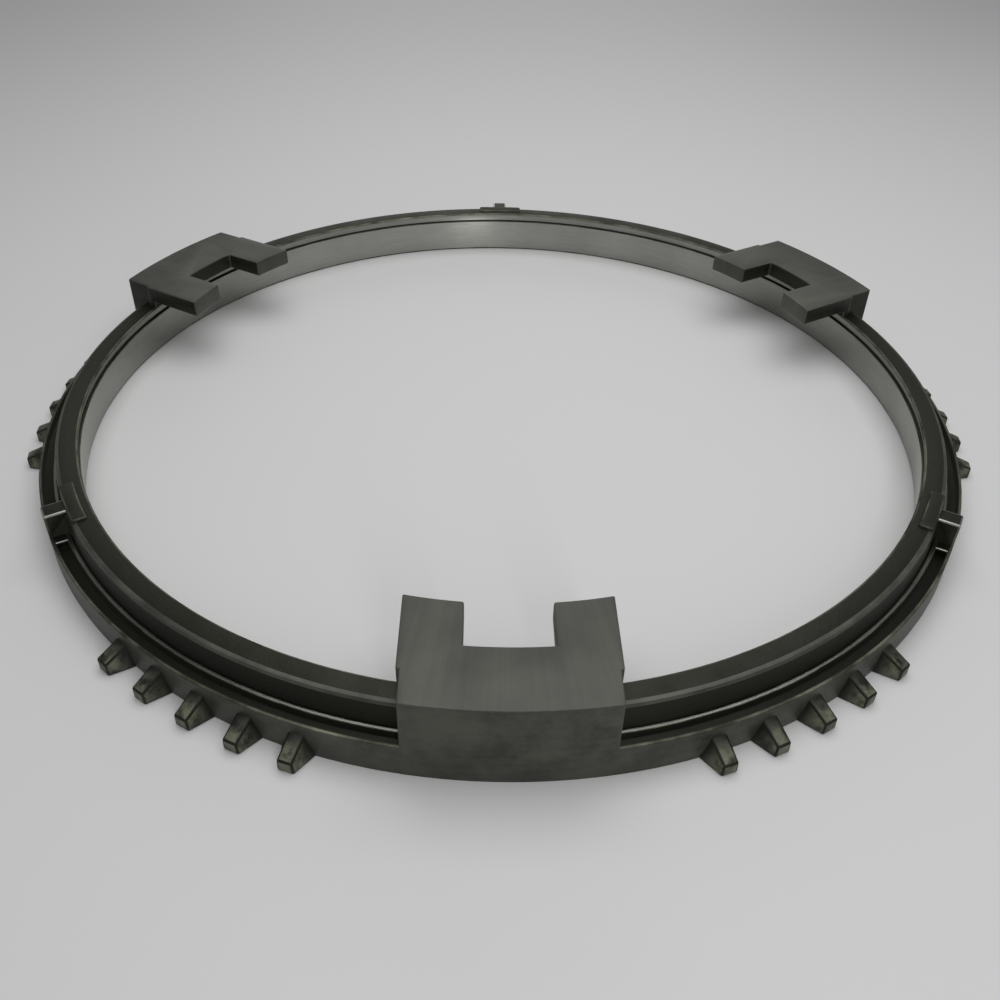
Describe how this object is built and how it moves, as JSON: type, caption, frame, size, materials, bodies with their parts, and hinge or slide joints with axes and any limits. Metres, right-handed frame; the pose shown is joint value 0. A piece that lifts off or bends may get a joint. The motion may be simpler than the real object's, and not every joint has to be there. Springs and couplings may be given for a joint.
{
  "type": "synchronizer cone",
  "caption": "Synchronizer cone: a flanged steel ring with a conical bore, notched lugs standing over the bore, and flights of coupling teeth round the flange.",
  "frame": {"origin": "on the ring's axis, in the plane of the flange's bottom face", "axes": "+Z along the ring's axis towards the lugs, -Y through the middle of one lug"},
  "size_m": [0.2336, 0.224, 0.0188],
  "materials": {
    "phosphated_steel": "dark phosphated steel, fine grained, with ground lug tops and a turned bore"
  },
  "bodies": {
    "root": {"synchronizer_cone": "phosphated_steel"}
  },
  "joints": []
}
